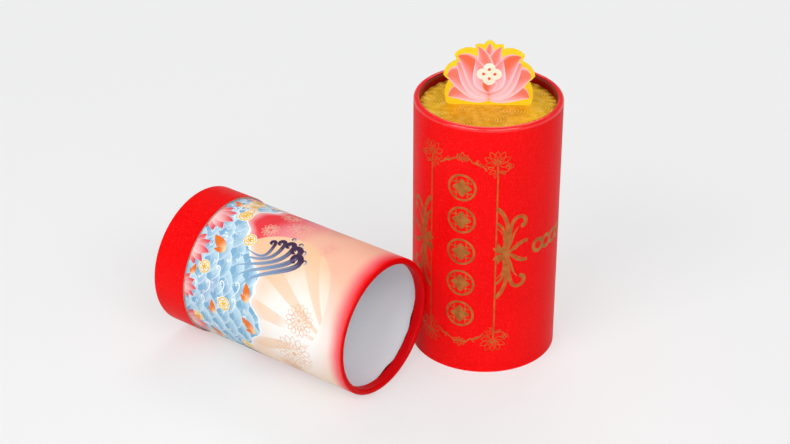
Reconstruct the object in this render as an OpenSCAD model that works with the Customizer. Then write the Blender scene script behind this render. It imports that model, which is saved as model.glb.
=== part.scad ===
// A round gift tube of wrapped board: a printed base tube and a red sleeve that slides over it as the lid.
// It is laid out as the photograph shows it, with the sleeve stood beside the base tube, which lies open.
// Millimetres. X runs along the lying tube towards its mouth, Z is up, and the middle of the floor plan is the origin.

/* [Tube] */
// Outside width of the sleeve and of the base band
tube_width = 80; // [60:1:120]
// Height of the sleeve
sleeve_height = 150; // [110:1:220]
// Length of the base tube, from its foot to its mouth
body_length = 130; // [90:1:180]
// Width of the plain band round the foot of the base tube
band_width = 22; // [14:1:40]

/* [Board and paper] */
// Thickness of the rolled board in the sleeve and in the neck
board = 0.85; // [0.6:0.05:1.2]
// Thickness of the printed or coloured paper glued round the board
paper = 0.15; // [0.1:0.05:0.25]
// Thickness of the flat discs that close the ends
disc_board = 1.2; // [0.8:0.1:2]
// Play between the neck and the bore of the sleeve, on each side
sleeve_play = 0.2; // [0.1:0.05:0.4]

/* [Rolled rims] */
// Width of a rolled rim, from its outside to its inside
rim_width = 3.5; // [3:0.1:5]
// How far a rolled rim reaches down inside the tube
rim_depth = 5.5; // [4.5:0.1:9]

/* [Lotus card] */
// Width of the card across its lowest pair of petal tips
card_width = 48.4; // [40:0.2:60]
// Height of the card above the gold disc
card_height = 37.4; // [30:0.2:46]
// Thickness of the card
card_thickness = 0.8; // [0.5:0.1:1.2]
// Width of the tongue that goes through the gold disc
tongue_width = 20; // [14:1:30]
// Length of the tongue below the gold disc
tongue_length = 30; // [15:1:45]
// Play of the tongue in its slot, on each side
slot_play = 0.2; // [0.1:0.05:0.5]
// Turn of the card about the sleeve's axis
card_turn = 33; // [0:1:90]

/* [Layout] */
// Clear gap between the sleeve and the lying tube's rolled rim
tubes_gap = 0.5; // [0.4:0.1:60]
// How far the sleeve's middle stands beyond the mouth of the lying tube
sleeve_beyond = 12; // [0:1:30]

/* [Output] */
// Which piece to draw

/* [Hidden] */
$fn = 96;

outer_r = tube_width / 2;
wall = board + paper;
bore_r = outer_r - wall;
neck_r = bore_r - sleeve_play;
neck_bore_r = neck_r - wall;
lining_r = neck_bore_r - paper;
roll_r = rim_width / 2;
foil = 0.2;

// Heights in the sleeve: the disc is trapped under the end of the rolled rim
foil_top = sleeve_height - rim_depth;
disc_top = foil_top - foil;

// Heights in the base, from its foot: facing, disc, then the neck tube stands on the disc
facing_low = rim_depth;
disc_low = facing_low + foil;
neck_low = disc_low + disc_board;

// The lying tube rests on the front edge of its band and on the rolled rim of its mouth
rim_reach = body_length - roll_r - band_width;
rim_drop = outer_r - (neck_r - roll_r);
lean = atan2(rim_drop, rim_reach) - asin(roll_r / sqrt(rim_reach * rim_reach + rim_drop * rim_drop));
axis_height = band_width * sin(lean) + outer_r * cos(lean);

// The middle of the floor plan is the origin
plan_low_x = -body_length * cos(lean) - roll_r * (1 - cos(lean)) - (outer_r - roll_r) * sin(lean);
plan_high_x = sleeve_beyond + outer_r;
rim_centres_apart = outer_r + tubes_gap + roll_r;
tubes_apart = neck_r - roll_r + sqrt(pow(rim_centres_apart, 2) - pow(sleeve_beyond + roll_r, 2));
mouth_x = -(plan_low_x + plan_high_x) / 2;
mouth_y = -tubes_apart / 2;
foot_x = mouth_x - body_length * cos(lean);
sleeve_x = mouth_x + sleeve_beyond;
sleeve_y = mouth_y + tubes_apart;

// Section between two upright legs joined by a half round top, which stands at height zero
module hood(inset, depth) {
    middle = -roll_r;
    translate([-rim_width + inset, -depth])
        square([rim_width - 2 * inset, depth + middle]);
    translate([-roll_r, middle])
        circle(r = roll_r - inset);
}

// One layer of a tube wall that is rolled in at its top and runs straight down at its outside
module rolled_layer(radius, length, inset, thick) {
    rotate_extrude()
        translate([radius, 0])
            union() {
                difference() {
                    hood(inset, rim_depth);
                    hood(inset + thick, rim_depth + 1);
                }
                translate([-inset - thick, -length])
                    square([thick, length - roll_r]);
            }
}

// Plain ring, or a plain disc where the inner radius is zero
module ring(low, high, inner, outer) {
    translate([0, 0, low])
        difference() {
            cylinder(h = high - low, r = outer);
            if (inner > 0)
                translate([0, 0, -1])
                    cylinder(h = high - low + 2, r = inner);
        }
}

module sleeve_place() {
    translate([sleeve_x, sleeve_y, 0])
        children();
}

// Stands a piece that is drawn foot down along the lying tube, foot end away from the mouth
module body_place() {
    translate([foot_x, mouth_y, axis_height])
        rotate([0, 90 + lean, 0])
            children();
}

// Turns a layer over, so that its rolled rim is at the foot
module foot_rim() {
    rotate([180, 0, 0])
        children();
}

// Slot for the card's tongue, cut right through a disc of the sleeve
module tongue_slot() {
    rotate([0, 0, card_turn])
        translate([0, 0, sleeve_height / 2])
            cube([tongue_width + 2 * slot_play, card_thickness + 2 * slot_play, sleeve_height], center = true);
}

module sleeve_tube() {
    color([0.55, 0.5, 0.44])
        sleeve_place()
            translate([0, 0, sleeve_height])
                rolled_layer(outer_r, sleeve_height, paper, board);
}

module sleeve_wrap() {
    color([0.75, 0.05, 0.06])
        sleeve_place()
            translate([0, 0, sleeve_height])
                rolled_layer(outer_r, sleeve_height, 0, paper);
}

module top_disc() {
    color([0.6, 0.55, 0.48])
        sleeve_place()
            difference() {
                ring(disc_top - disc_board, disc_top, 0, bore_r);
                tongue_slot();
            }
}

module gold_foil() {
    color([0.82, 0.62, 0.22])
        sleeve_place()
            difference() {
                ring(disc_top, foil_top, 0, bore_r);
                tongue_slot();
            }
}

// Right half of the lotus outline, from the foot up to the top petal: how far across, how far up, and how far the
// edge that leads there bulges out. The first step rounds the foot's corner. Above it tips and notches take turns,
// one pair of petals above the other.
LOTUS_EDGE = [
    [20.6, 0, 0],
    [22.9, 2.4, 0.75],
    [21.2, 14, 1.25],
    [24.2, 17.2, 0.2],
    [17.2, 25.6, 1.6],
    [18.5, 28.9, 0.1],
    [7.6, 32.3, 1.9],
    [7.5, 34.6, 0],
    [3.2, 34.7, 0.3],
    [0, 37.4, 0.3],
];
EDGE_ACROSS = 24.2;
EDGE_UP = 37.4;
ARC_STEPS = 10;

// Points of an arc from one place to another, bulging to the right of the way by a given amount
function arc_between(from, to, bulge) =
    let (chord = norm(to - from), way = (to - from) / chord, outward = [way.y, -way.x])
    bulge <= 0 ? [to] :
    let (radius = (chord * chord / 4 + bulge * bulge) / (2 * bulge), half = asin(chord / 2 / radius))
    [for (k = [1:ARC_STEPS])
        let (turn = -half + 2 * half * k / ARC_STEPS)
        (from + to) / 2 + way * radius * sin(turn) + outward * (radius * cos(turn) - radius + bulge)];

function edge_place(k, side) =
    [side * LOTUS_EDGE[k][0] * card_width / 2 / EDGE_ACROSS, LOTUS_EDGE[k][1] * card_height / EDGE_UP];

// Lotus outline above a straight foot: the right half, and the same half mirrored and walked back down
module lotus_outline() {
    right = [for (k = [1:len(LOTUS_EDGE) - 1])
        each arc_between(edge_place(k - 1, 1), edge_place(k, 1), LOTUS_EDGE[k][2])];
    last = len(right) - 2;
    left = [for (k = [last:-1:0]) [-right[k].x, right[k].y]];
    polygon(concat([edge_place(0, -1), edge_place(0, 1)], right, left));
}

module lotus_card() {
    color([0.9, 0.4, 0.45])
        sleeve_place()
            rotate([0, 0, card_turn])
                translate([0, card_thickness / 2, foil_top])
                    rotate([90, 0, 0])
                        linear_extrude(height = card_thickness)
                            union() {
                                lotus_outline();
                                translate([-tongue_width / 2, -tongue_length])
                                    square([tongue_width, tongue_length + 1]);
                            }
}

// The band's rolled rim is at the foot, and its raw board edge faces the mouth
module base_band() {
    color([0.55, 0.5, 0.44])
        body_place()
            foot_rim()
                rolled_layer(outer_r, band_width, paper, outer_r - paper - neck_r);
}

module band_wrap() {
    color([0.75, 0.05, 0.06])
        body_place()
            foot_rim()
                rolled_layer(outer_r, band_width, 0, paper);
}

module base_facing() {
    color([0.75, 0.05, 0.06])
        body_place()
            ring(facing_low, disc_low, 0, neck_r);
}

module base_disc() {
    color([0.6, 0.55, 0.48])
        body_place()
            ring(disc_low, neck_low, 0, neck_r);
}

module neck_tube() {
    color([0.55, 0.5, 0.44])
        body_place()
            translate([0, 0, body_length])
                rolled_layer(neck_r, body_length - neck_low, paper, board);
}

module neck_wrap() {
    color([0.2, 0.45, 0.7])
        body_place()
            translate([0, 0, body_length])
                rolled_layer(neck_r, body_length - neck_low, 0, paper);
}

module neck_lining() {
    color([0.78, 0.77, 0.8])
        body_place()
            ring(neck_low, body_length - rim_depth, lining_r, neck_bore_r);
}

module floor_paper() {
    color([0.78, 0.77, 0.8])
        body_place()
            ring(neck_low, neck_low + foil, 0, lining_r);
}

sleeve_tube();
sleeve_wrap();
top_disc();
gold_foil();
lotus_card();
base_band();
band_wrap();
base_disc();
base_facing();
neck_tube();
neck_wrap();
neck_lining();
floor_paper();
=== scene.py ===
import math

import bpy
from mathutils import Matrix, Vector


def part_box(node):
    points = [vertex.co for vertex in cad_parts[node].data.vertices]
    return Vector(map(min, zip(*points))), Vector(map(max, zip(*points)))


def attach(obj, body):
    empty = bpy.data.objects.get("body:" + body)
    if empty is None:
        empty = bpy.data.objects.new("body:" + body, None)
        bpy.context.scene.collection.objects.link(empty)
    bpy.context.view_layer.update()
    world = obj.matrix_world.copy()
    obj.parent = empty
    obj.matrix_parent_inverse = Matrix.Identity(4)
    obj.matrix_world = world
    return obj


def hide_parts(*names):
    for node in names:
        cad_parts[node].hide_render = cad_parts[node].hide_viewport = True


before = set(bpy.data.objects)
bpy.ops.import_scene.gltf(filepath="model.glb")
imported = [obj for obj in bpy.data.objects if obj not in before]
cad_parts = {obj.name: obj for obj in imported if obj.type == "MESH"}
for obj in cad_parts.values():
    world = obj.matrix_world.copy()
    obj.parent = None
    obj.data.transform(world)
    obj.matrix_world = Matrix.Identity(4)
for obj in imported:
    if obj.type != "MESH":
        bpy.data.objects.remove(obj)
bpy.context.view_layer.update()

# %% [markdown]
# # A round gift tube, dressed for its photograph
# The box is two tubes of rolled board. The red sleeve stands on its lower edge, and the printed base tube lies beside
# it with its mouth open. The solids come from the CAD part, already in metres and already in place. This file gives
# each of them its paper, foil or print, and adds what is stamped, pressed or folded too finely for the solids.

MM = 0.001

# %% [markdown]
# ## Where things are
# Every place below comes from the boxes of the CAD nodes, so the scene follows the part if a size changes. The sleeve
# is round, so its axis is the middle of its box. The base tube leans a little, because its neck is thinner than the
# band at its foot, so its axis runs from the middle of the band to the middle of the mouth.

# %% Places and sizes, read from the frame
sleeve_low, sleeve_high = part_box("sleeve_wrap")
sleeve_axis = (sleeve_low + sleeve_high) / 2
SLEEVE_R = (sleeve_high.x - sleeve_low.x) / 2
SLEEVE_H = sleeve_high.z
foil_low, foil_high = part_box("gold_foil")
FOIL_TOP = foil_high.z
BORE_R = (foil_high.x - foil_low.x) / 2
neck_low, neck_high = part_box("neck_wrap")
band_low, band_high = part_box("band_wrap")
BAND_R = (band_high.y - band_low.y) / 2
NECK_R = (neck_high.y - neck_low.y) / 2
RIM = 3.5 * MM
RIM_DEPTH = 5.5 * MM
BODY_L = 130 * MM
BAND_W = 22 * MM
roll = RIM / 2
reach, drop = BODY_L - roll - BAND_W, BAND_R - NECK_R + roll
LEAN = math.atan2(drop, reach) - math.asin(roll / math.hypot(reach, drop))
along = Vector((math.cos(LEAN), 0, -math.sin(LEAN)))
foot = Vector((band_low.x + (BAND_R - roll) * math.sin(LEAN) + roll * (1 - math.cos(LEAN)),
               (band_low.y + band_high.y) / 2,
               BAND_W * math.sin(LEAN) + BAND_R * math.cos(LEAN)))
mouth = foot + along * BODY_L
print("sleeve axis", [round(v / MM, 2) for v in sleeve_axis], "foot", [round(v / MM, 2) for v in foot],
      "mouth", [round(v / MM, 2) for v in mouth], "lean", round(math.degrees(LEAN), 3))

# %% [markdown]
# ## Shader maths as plain expressions
# A pattern on a surface is arithmetic on its coordinates. Writing it node by node hides the idea, so one small class
# wraps a socket and lets Python's own operators add the Math nodes.


# %% One wrapped socket, and the surface that makes them
class Field:
    """A number that varies over a surface."""

    def __init__(self, surface, socket):
        self.surface, self.socket = surface, socket

    def math(self, operation, *others):
        return self.surface.node("ShaderNodeMath", {"operation": operation}, *((self,) + others))

    def __add__(self, other):
        return self.math("ADD", other)

    __radd__ = __add__

    def __mul__(self, other):
        return self.math("MULTIPLY", other)

    __rmul__ = __mul__

    def __sub__(self, other):
        return self.math("SUBTRACT", other)

    def __rsub__(self, other):
        return self.surface.node("ShaderNodeMath", {"operation": "SUBTRACT"}, other, self)

    def __truediv__(self, other):
        return self.math("DIVIDE", other)

    def __rtruediv__(self, other):
        return self.surface.node("ShaderNodeMath", {"operation": "DIVIDE"}, other, self)

    def __lt__(self, other):
        return self.math("LESS_THAN", other)

    def __gt__(self, other):
        return self.math("GREATER_THAN", other)

    def __mod__(self, other):
        return self.math("FLOORED_MODULO", other)

    def __pow__(self, other):
        return self.math("POWER", other)

    def sin(self):
        return self.math("SINE")

    def floor(self):
        return self.math("FLOOR")

    def abs(self):
        return self.math("ABSOLUTE")

    def sqrt(self):
        return self.math("SQRT")

    def least(self, other):
        return self.math("MINIMUM", other)

    def most(self, other):
        return self.math("MAXIMUM", other)

    def ramp(self, low, high):
        """0 up to low, 1 from high on, and smooth between."""
        return self.surface.node("ShaderNodeMapRange", {"interpolation_type": "SMOOTHSTEP"}, self, low, high)


class NodeTree:
    """The nodes of a material or of the world, and one way to add to them."""

    def __init__(self, tree):
        self.nodes, self.links = tree.nodes, tree.links

    def kind(self, name):
        return next(n for n in self.nodes if n.type == name)

    def node(self, kind, settings, *values, out=0, **named):
        made = self.nodes.new(kind)
        for key, value in settings.items():
            setattr(made, key, value)
        for slot, value in list(enumerate(values)) + list(named.items()):
            target = made.inputs[slot.replace("_", " ") if isinstance(slot, str) else slot]
            if isinstance(value, Field):
                value = value.socket
            if isinstance(value, bpy.types.NodeSocket):
                self.links.new(value, target)
            else:
                target.default_value = value
        return Field(self, made.outputs[out])

    def seen(self):
        """1 where a ray comes from the camera, or from gloss or glass that shows the background."""
        rays = self.nodes.new("ShaderNodeLightPath").outputs
        kinds = [Field(self, rays[f"Is {kind} Ray"]) for kind in ("Camera", "Glossy", "Transmission")]
        return kinds[0].most(kinds[1]).most(kinds[2])


class Surface(NodeTree):
    """A material under construction: its nodes, and the Principled shader that they end in."""

    def __init__(self, name, roughness=0.5, metallic=0.0, coat=0.0, coat_roughness=0.1, specular=0.5):
        self.material = bpy.data.materials.new(name)
        self.material.use_nodes = True
        super().__init__(self.material.node_tree)
        self.shader = self.kind("BSDF_PRINCIPLED")
        self.set("Roughness", roughness)
        self.set("Metallic", metallic)
        self.set("Coat Weight", coat)
        self.set("Coat Roughness", coat_roughness)
        self.set("Specular IOR Level", specular)
        place = self.nodes.new("ShaderNodeTexCoord")
        self.place = place.outputs["Object"]

    def set(self, name, value):
        target = self.shader.inputs[name]
        if isinstance(value, Field):
            self.links.new(value.socket, target)
        else:
            target.default_value = value

    def noise(self, scale, detail=3.0, place=None, roughness=0.5):
        return self.node("ShaderNodeTexNoise", {}, Vector=place or self.place, Scale=scale, Detail=detail,
                         Roughness=roughness)

    def mix(self, amount, low, high):
        made = self.nodes.new("ShaderNodeMix")
        made.data_type = "RGBA"
        for slot, value in ((0, amount), (6, low), (7, high)):
            if isinstance(value, Field):
                self.links.new(value.socket, made.inputs[slot])
            elif slot:
                made.inputs[slot].default_value = (*value, 1)
            else:
                made.inputs[slot].default_value = value
        return Field(self, made.outputs[2])

    def axis_parts(self, origin=(0, 0, 0), turn=(0, 0, 0)):
        """X, Y and Z of the surface, measured from a place and turned."""
        moved = self.node("ShaderNodeVectorMath", {"operation": "SUBTRACT"}, self.place, tuple(origin))
        turned = self.node("ShaderNodeVectorRotate", {"rotation_type": "EULER_XYZ", "invert": True}, moved,
                           Rotation=tuple(turn))
        parts = self.nodes.new("ShaderNodeSeparateXYZ")
        self.links.new(turned.socket, parts.inputs[0])
        return [Field(self, parts.outputs[i]) for i in range(3)]

    def bump(self, height, distance, strength=1.0):
        self.set("Normal", self.node("ShaderNodeBump", {}, Height=height, Distance=distance, Strength=strength))


# %% [markdown]
# ## Papers and board
# The red paper is printed and coated: an even colour with a broad soft gloss. Under a lens its surface is very
# slightly pebbled, and the colour drifts by a few percent. The board is recycled pulp: grey-brown, matt and full of
# fibres. Real fibres are longer than wide, but their noise here is the same in every direction.


# %% Red coated paper
# Dark red painted on the inside of the turned-in paper as shade, at the sleeve's ends and in the neck's mouth.
TURN_IN_PAINTED_SHADE = (0.16, 0.0015, 0.003)


def red_paper():
    s = Surface("red_paper", roughness=0.4, coat=0.04, coat_roughness=0.14, specular=0.04)
    drift = s.noise(18, 4)
    body = s.mix(drift.ramp(0.3, 0.7), (0.88, 0.0014, 0.002), (0.95, 0.0026, 0.0034))
    speck = s.noise(1100, 2)
    body = s.mix(speck.ramp(0.52, 0.7) * 0.6, body, (1.0, 0.020, 0.022))
    body = s.mix(speck.ramp(0.48, 0.3) * 0.45, body, (0.76, 0.0006, 0.001))
    x, y, z = s.axis_parts(sleeve_axis)
    from_axis = (x * x + y * y).sqrt()
    # Painted shade: the paper's inner face within the rim's depth, at both ends of the sleeve, is mixed towards the
    # dark turn-in red.
    inside = (from_axis - BORE_R).ramp(-1.6 * MM, -0.8 * MM)
    painted_turn_in_shade = (1 - inside) * (z.abs() > SLEEVE_H / 2 - RIM_DEPTH * 1.2) * (z.abs() < SLEEVE_H / 2 - 0.4 * MM)
    s.set("Base Color", s.mix(painted_turn_in_shade * 0.8, body, TURN_IN_PAINTED_SHADE))
    grain = s.noise(2600, 2)
    on_rim = (z - SLEEVE_H / 2 + RIM * 0.8).ramp(0, RIM * 0.4) * (from_axis < BORE_R * 1.2)
    s.set("Coat Weight", on_rim * 0.5 + 0.02)
    s.set("Coat IOR", 2.0)
    s.set("Roughness", 0.38 + grain * 0.1)
    s.bump(grain * 0.6 + s.noise(420, 3) * 0.8, 0.00005, 0.5)
    return s.material


# %% Raw grey board
def grey_board():
    s = Surface("grey_board", roughness=0.9, specular=0.2)
    fibres = s.noise(900, 5)
    flecks = s.noise(2400, 2)
    s.set("Base Color", s.mix(fibres.ramp(0.3, 0.7), (0.34, 0.28, 0.23), (0.52, 0.45, 0.38)))
    s.set("Roughness", 0.84 + flecks * 0.12)
    s.bump(fibres + flecks * 0.5, 0.00012, 0.7)
    return s.material


# %% Lavender-grey lining paper
def lining_paper():
    s = Surface("lining_paper", roughness=0.72, specular=0.25)
    drift = s.noise(40, 4)
    body = s.mix(drift.ramp(0.3, 0.7), (0.905, 0.95, 0.995), (0.93, 0.97, 1.0))
    s.set("Base Color", s.mix(s.noise(800, 3).ramp(0.3, 0.7) * 0.5, body, (0.90, 0.935, 0.99)))
    grain = s.noise(1800, 3)
    s.set("Roughness", 0.66 + grain * 0.12)
    s.bump(grain, 0.00006, 0.6)
    return s.material


RED = red_paper()
BOARD = grey_board()
LINING = lining_paper()


def paint(node, material):
    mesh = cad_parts[node].data
    mesh.materials.clear()
    mesh.materials.append(material)


for node in ("sleeve_wrap", "band_wrap", "base_facing"):
    paint(node, RED)
for node in ("sleeve_tube", "base_band", "base_disc", "neck_tube", "top_disc"):
    paint(node, BOARD)
for node in ("neck_lining", "floor_paper"):
    paint(node, LINING)
print("papers:", [m.name for m in (RED, BOARD, LINING)])

# %% [markdown]
# ## The print on the neck
# The neck's paper carries a picture that reads with the mouth upwards: a pale blue sea at the foot, a peach sun with
# faint rays, a coral sky, and plain red where the paper turns over the rim. Two such pictures go round the tube. The
# large soft colours are worked out in the material, from the distance round the tube and along it. The sea is filled
# with wave scales, a traditional pattern: rows of circles, each shifted by half a circle and lapping over the last.
# The swell is made of sines that fit a whole number of times round the picture, so that no seam shows.

# %% Unrolled coordinates of the neck
NECK_MM = NECK_R / MM
TOWARDS_CAMERA = math.radians(-51.4)
PICTURE_WIDTH = math.pi * NECK_MM
ONE_WAVE = 2 * math.pi / PICTURE_WIDTH
SEA_TOP = 58.0
SWELLS = ((1, -16.0, -0.42), (3, 2.6, 0.7), (5, 1.8, 2.0), (11, 0.8, 1.0))
SUN_AT, SUN_R = (-6.0, 80.0), 35.0
GLOW_AT = (-22.0, 99.0)
RAYS, RAYS_FROM = 15, 24.0
SCALES_ROUND = 7
SCALE_R = PICTURE_WIDTH / SCALES_ROUND / 2
FADE_FROM, FADE_TO = 118.0, 130.5


def sea_edge(across):
    """Height of the sea's edge, for numbers here and for fields in the material."""
    sine = (lambda v: v.sin()) if isinstance(across, Field) else math.sin
    edge = SEA_TOP
    for count, height, shift in SWELLS:
        edge = edge + height * sine(across * (ONE_WAVE * count) + shift)
    return edge


def unrolled_neck(s):
    """Millimetres across from the middle of a picture, and millimetres up from the foot."""
    length, side, up = s.axis_parts(foot, (0, LEAN, 0))
    turn = s.node("ShaderNodeMath", {"operation": "ARCTAN2"}, side, up)
    across = (turn - TOWARDS_CAMERA) * NECK_MM + 2.5 * PICTURE_WIDTH
    from_axis = (side * side + up * up).sqrt()
    return across % PICTURE_WIDTH - PICTURE_WIDTH / 2, length / MM, from_axis / MM


# %% Sea of wave scales, as if painted in water colour
def sea_colour(s, across, up):
    rise = SCALE_R * 0.52
    wobble = s.noise(70, 2) * 3.0
    row = (up / rise).floor()
    colour = None
    for below in (-1, 0, 1, 2):
        base = row - below
        x = (across + wobble + base * SCALE_R + 40 * SCALE_R) % (2 * SCALE_R) - SCALE_R
        y = up - base * rise
        inner = (x * x + y * y).sqrt() / SCALE_R
        wash = (inner + (s.noise(160, 4) - 0.5) * 1.1 + x * 0.035).ramp(0.25, 1.05)
        water = s.mix(wash, (0.22, 0.45, 0.66), (0.54, 0.74, 0.86))
        line = ((inner * 2.2) % 1.0 - 0.5).abs().ramp(0.40, 0.49)
        water = s.mix(line * 0.35, water, (0.74, 0.88, 0.95))
        water = s.mix(inner.ramp(0.94, 0.99) * 0.6, water, (0.86, 0.94, 1.0))
        colour = water if colour is None else s.mix(inner < 1.0, colour, water)
    foam = s.noise(210, 6, roughness=0.72).ramp(0.585, 0.63) * s.noise(45, 2).ramp(0.42, 0.55)
    colour = s.mix(foam * 0.85, colour, (0.94, 0.98, 1.0))
    return s.mix(s.noise(28, 3).ramp(0.56, 0.72) * 0.3, colour, (0.30, 0.33, 0.60))


# %% Sun, rays and sky
def sky_colour(s, across, up):
    drift = s.noise(55, 4)
    height = up + (drift - 0.5) * 16 - across * 0.12
    sky = s.mix(height.ramp(48, 66), (0.86, 0.050, 0.066), (0.90, 0.27, 0.30))
    sky = s.mix(height.ramp(60, 86), sky, (0.93, 0.53, 0.38))
    sky = s.mix((across * -1 + (drift - 0.5) * 20).ramp(26, 50), sky, (0.95, 0.74, 0.56))
    x, y = across - SUN_AT[0], up - SUN_AT[1]
    away = (x * x + y * y).sqrt()
    gx, gy = across - GLOW_AT[0], up - GLOW_AT[1]
    from_glow = (gx * gx * 0.9 + gy * gy).sqrt()
    sun = s.mix((from_glow + drift * 10).ramp(12, 54), (0.96, 0.80, 0.64), (0.93, 0.60, 0.39))
    sky = s.mix((away - SUN_R).ramp(-0.3, 0.3), sun, sky)
    sky = s.mix((from_glow + drift * 8).ramp(13, 44), (0.985, 0.965, 0.93), sky)
    beam = s.node("ShaderNodeMath", {"operation": "ARCTAN2"}, gx, gy * -1 + RAYS_FROM)
    rays = (beam * RAYS).sin().ramp(0.22, 0.28) * (away < SUN_R) * from_glow.ramp(4, 14)
    return s.mix(rays * 0.55, sky, (0.90, 0.57, 0.33))


# %% Printed paper of the neck
def neck_print():
    s = Surface("neck_print", roughness=0.38, specular=0.03, coat=0.04, coat_roughness=0.2)
    across, up, from_axis = unrolled_neck(s)
    crest = up - sea_edge(across)
    picture = s.mix((crest + s.noise(260, 5) * 2).ramp(0.6, 1.6), sea_colour(s, across, up), sky_colour(s, across, up))
    spray = (crest.abs() * -1 + 2.6 * s.noise(170, 5)).ramp(0.2, 0.8)
    picture = s.mix(spray * 0.9, picture, (0.95, 0.98, 1.0))
    mist = (crest * -1 + 7).ramp(0, 7) * (crest > 0) * 0.5
    picture = s.mix(mist, picture, (0.95, 0.90, 0.88))
    edge = (s.noise(45, 3) - 0.5) * 3 + ((across - 34) * ONE_WAVE + math.pi / 2).sin() * 1.5 + up
    edge = edge + (from_axis * -1 + NECK_MM).ramp(0.5, 1.3) * RIM_DEPTH / MM * 2
    picture = s.mix(edge.ramp(FADE_FROM, FADE_FROM + 8) * 0.92, picture, (0.96, 0.19, 0.22))
    picture = s.mix(edge.ramp(FADE_FROM + 5, FADE_TO), picture, (0.88, 0.003, 0.006))
    picture = s.mix((up - BODY_L / MM).ramp(-1.3, -0.1), picture, (0.68, 0.0012, 0.0022))
    # Painted shade: the inside of the rolled rim and of the turn-in is mixed a little towards the dark turn-in red.
    painted_turn_in_shade = (from_axis * -1 + NECK_MM - 1.6).ramp(0, 1.0) * (up < BODY_L / MM - 0.5)
    s.set("Base Color", s.mix(painted_turn_in_shade * 0.22, picture, TURN_IN_PAINTED_SHADE))
    s.set("Coat Weight", (up - BODY_L / MM + 3.2).ramp(0, 1.4) * 0.03 + 0.03)
    grain = s.noise(2600, 2)
    s.set("Roughness", 0.36 + grain * 0.1)
    s.bump(grain, 0.00004, 0.5)
    return s.material


paint("neck_wrap", neck_print())
print("picture width", round(PICTURE_WIDTH, 1), "mm, two round the neck")

# %% [markdown]
# ## The paper edge inside the mouth
# The print turns in over the rim and ends on the lining in an uneven torn edge. It is thin paper, so it is one sheet
# with its own thickness, rolled to the lining's radius. Its deep edge follows a few sines, its other edge hides behind
# the rolled rim.

# %% Torn edge of the turned-in paper
lining_low, lining_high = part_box("neck_lining")
TURN_R = 37.65 * MM - 0.14 * MM
PAPER = 0.12 * MM
TORN_MOST = math.radians(155)


def torn_depth(a):
    """How deep the paper reaches in from the mouth, in millimetres, at an angle round it."""
    worst = (0.5 + 0.5 * math.cos(a - TORN_MOST)) ** 2
    ragged = 0.6 + 0.42 * math.sin(7 * a + 0.4) + 0.3 * math.sin(13 * a + 2.0)
    return 6.85 + worst * ragged + 0.12 * math.sin(23 * a)


def turned_in(name, spokes=360, rows=8):
    verts, faces = [], []
    for side in (0, 1):
        radius = TURN_R + (PAPER if side else 0)
        for k in range(spokes):
            a = 2 * math.pi * k / spokes
            for j in range(rows + 1):
                depth = 4.0 + (torn_depth(a) - 4.0) * j / rows
                at = mouth - along * (depth * MM)
                verts.append(at + Vector((radius * math.cos(a) * math.sin(LEAN), radius * math.sin(a),
                                          radius * math.cos(a) * math.cos(LEAN))))
    def at(side, k, j):
        return (side * spokes + k % spokes) * (rows + 1) + j
    for k in range(spokes):
        for j in range(rows):
            faces.append((at(0, k, j), at(0, k, j + 1), at(0, k + 1, j + 1), at(0, k + 1, j)))
            faces.append((at(1, k, j), at(1, k + 1, j), at(1, k + 1, j + 1), at(1, k, j + 1)))
        for j in (0, rows):
            quad = (at(0, k, j), at(0, k + 1, j), at(1, k + 1, j), at(1, k, j))
            faces.append(quad if j == 0 else quad[::-1])
    mesh = bpy.data.meshes.new(name)
    mesh.from_pydata(verts, [], faces)
    obj = bpy.data.objects.new(name, mesh)
    bpy.context.scene.collection.objects.link(obj)
    return obj


def painted_shade_turn_in_paper():
    # Painted shade: the turned-in paper is a darker copy of the red paper, and toward its torn edge it is painted
    # darker still, as the shadow under the curling edge.
    s = Surface("turned_in_paper_painted_shade", roughness=0.6, specular=0.12)
    length = s.axis_parts(foot, (0, LEAN, 0))[0]
    painted_shadow_near_tear = (length * (-1 / MM) + BODY_L / MM).ramp(5.6, 7.4)
    red = s.mix(s.noise(300, 3).ramp(0.3, 0.7), (0.42, 0.002, 0.005), (0.52, 0.003, 0.007))
    s.set("Base Color", s.mix(painted_shadow_near_tear * 0.75, red, (0.10, 0.001, 0.003)))
    s.set("Roughness", 0.55 + s.noise(1500, 2) * 0.1)
    return s.material


torn_edge = turned_in("turned_in_edge")
torn_edge.data.materials.append(painted_shade_turn_in_paper())
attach(torn_edge, "base_tube")
print("torn edge reaches in", round(torn_depth(0), 1), "mm at the top")

# %% [markdown]
# ## The gold disc
# The disc at the sleeve's top is faced with embossed gold foil: clear over a printed ochre, pressed with sets of
# rings that lap over each other like rings on water. The foil never lies quite flat, so its face rolls a little and
# its edge is crinkled. The rings are real height in a fine mesh, because a bump alone looks flat where the light
# grazes it. The same formulas also paint light and shade into the foil's colour: painted shade in the grooves and in
# the dents of the edge, and painted highlights on the ridges and on the folds of the edge.

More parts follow.
